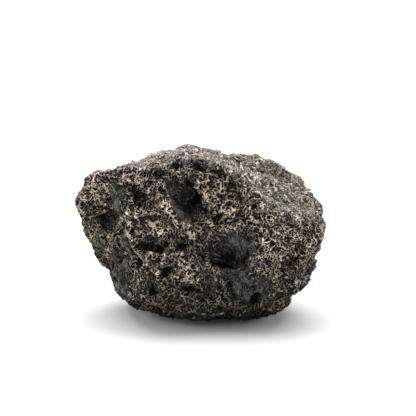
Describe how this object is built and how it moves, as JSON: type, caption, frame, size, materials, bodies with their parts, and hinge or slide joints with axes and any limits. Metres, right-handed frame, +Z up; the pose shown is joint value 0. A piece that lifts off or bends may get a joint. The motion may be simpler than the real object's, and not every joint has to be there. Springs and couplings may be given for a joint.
{
  "type": "meteorite fragment",
  "caption": "Dark, pitted stony meteorite fragment with thumbprint hollows between blunt crests, standing on a worn flat foot.",
  "frame": {"origin": "centre of the bounding box's base, on the surface that the stone stands on", "axes": "+Z up out of the foot; the best face looks along -Y and a little up; +X runs to the stone's right end as seen on that face, along its longest extent"},
  "size_m": [0.07, 0.0516, 0.0485],
  "materials": {
    "crust": "dull, porous fusion crust, near black in its pits and worn to beige on its rims and crests"
  },
  "bodies": {
    "root": {"meteorite": "crust"}
  },
  "joints": []
}
